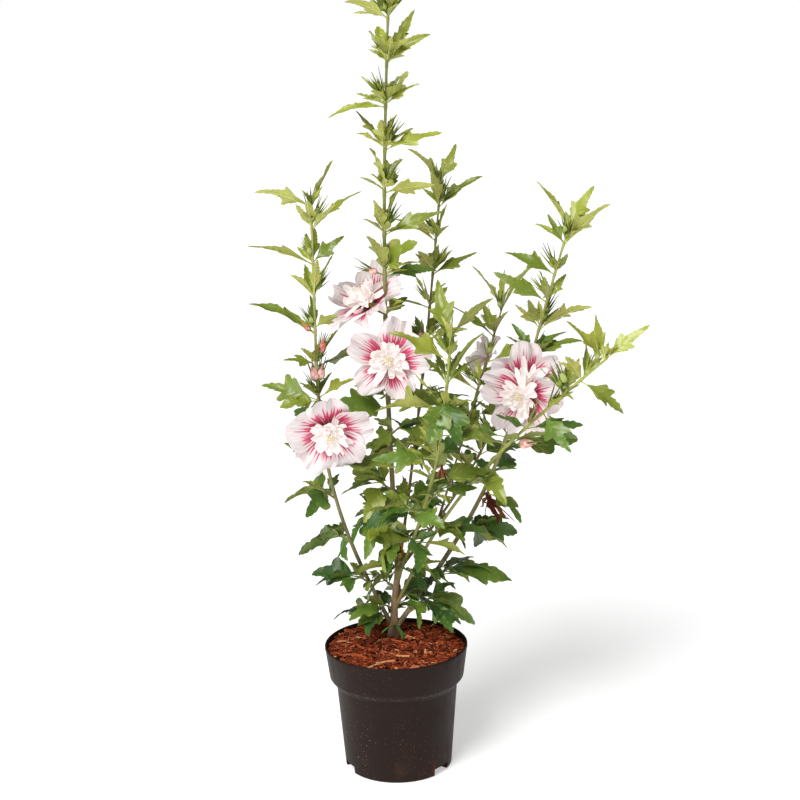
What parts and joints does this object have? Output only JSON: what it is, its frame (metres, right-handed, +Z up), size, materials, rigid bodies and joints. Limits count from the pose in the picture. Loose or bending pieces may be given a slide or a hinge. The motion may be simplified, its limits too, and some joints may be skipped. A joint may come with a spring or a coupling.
{
  "type": "potted hibiscus shrub",
  "caption": "Open-branched flowering shrub with lobed leaves, buds and double blooms on long upright shoots, in a round tapered nursery pot with a deep collar.",
  "frame": {"origin": "centre of the pot's flat underside, at floor level", "axes": "+Z straight up through the pot and along the leader shoot; -Y is the shrub's front, the side the picture shows, and +X its right as seen from the front"},
  "size_m": [0.506, 0.3086, 1.1014],
  "materials": {
    "pot_plastic": "scuffed black-brown thermoformed plastic",
    "soil": "shredded red-brown bark mulch over potting soil",
    "bark": "brown-grey young bark",
    "shoot_bark": "smooth olive-tan shoot bark",
    "foliage": "leaves, buds and blooms"
  },
  "bodies": {
    "root": {"pot": "pot_plastic", "soil": "soil", "trunk": "bark", "bough_leader": "shoot_bark", "bough_left": "shoot_bark", "bough_back": "shoot_bark", "bough_front": "shoot_bark", "bough_middle": "shoot_bark", "bough_far": "shoot_bark", "bough_low": "shoot_bark", "bough_right": "shoot_bark", "foliage_leader": "foliage", "foliage_left": "foliage", "foliage_back": "foliage", "foliage_front": "foliage", "foliage_middle": "foliage", "foliage_far": "foliage", "foliage_low": "foliage", "foliage_right": "foliage", "spray_trunk_1": "foliage", "spray_trunk_2": "foliage", "spray_trunk_3": "foliage", "spray_trunk_4": "foliage", "spray_trunk_5": "foliage", "spray_trunk_6": "foliage", "spray_trunk_7": "foliage", "spray_left_8": "foliage", "spray_left_9": "foliage", "spray_left_10": "foliage", "spray_leader_11": "foliage", "spray_leader_12": "foliage", "spray_leader_13": "foliage", "spray_leader_14": "foliage", "spray_leader_15": "foliage", "spray_leader_16": "foliage", "spray_back_17": "foliage", "spray_back_18": "foliage", "spray_front_19": "foliage", "spray_front_20": "foliage", "spray_front_21": "foliage", "spray_middle_22": "foliage", "spray_middle_23": "foliage", "spray_low_24": "foliage", "spray_low_25": "foliage", "spray_low_26": "foliage", "spray_right_27": "foliage", "spray_right_28": "foliage", "spray_right_29": "foliage", "spray_right_30": "foliage", "spray_right_31": "foliage"}
  },
  "joints": []
}
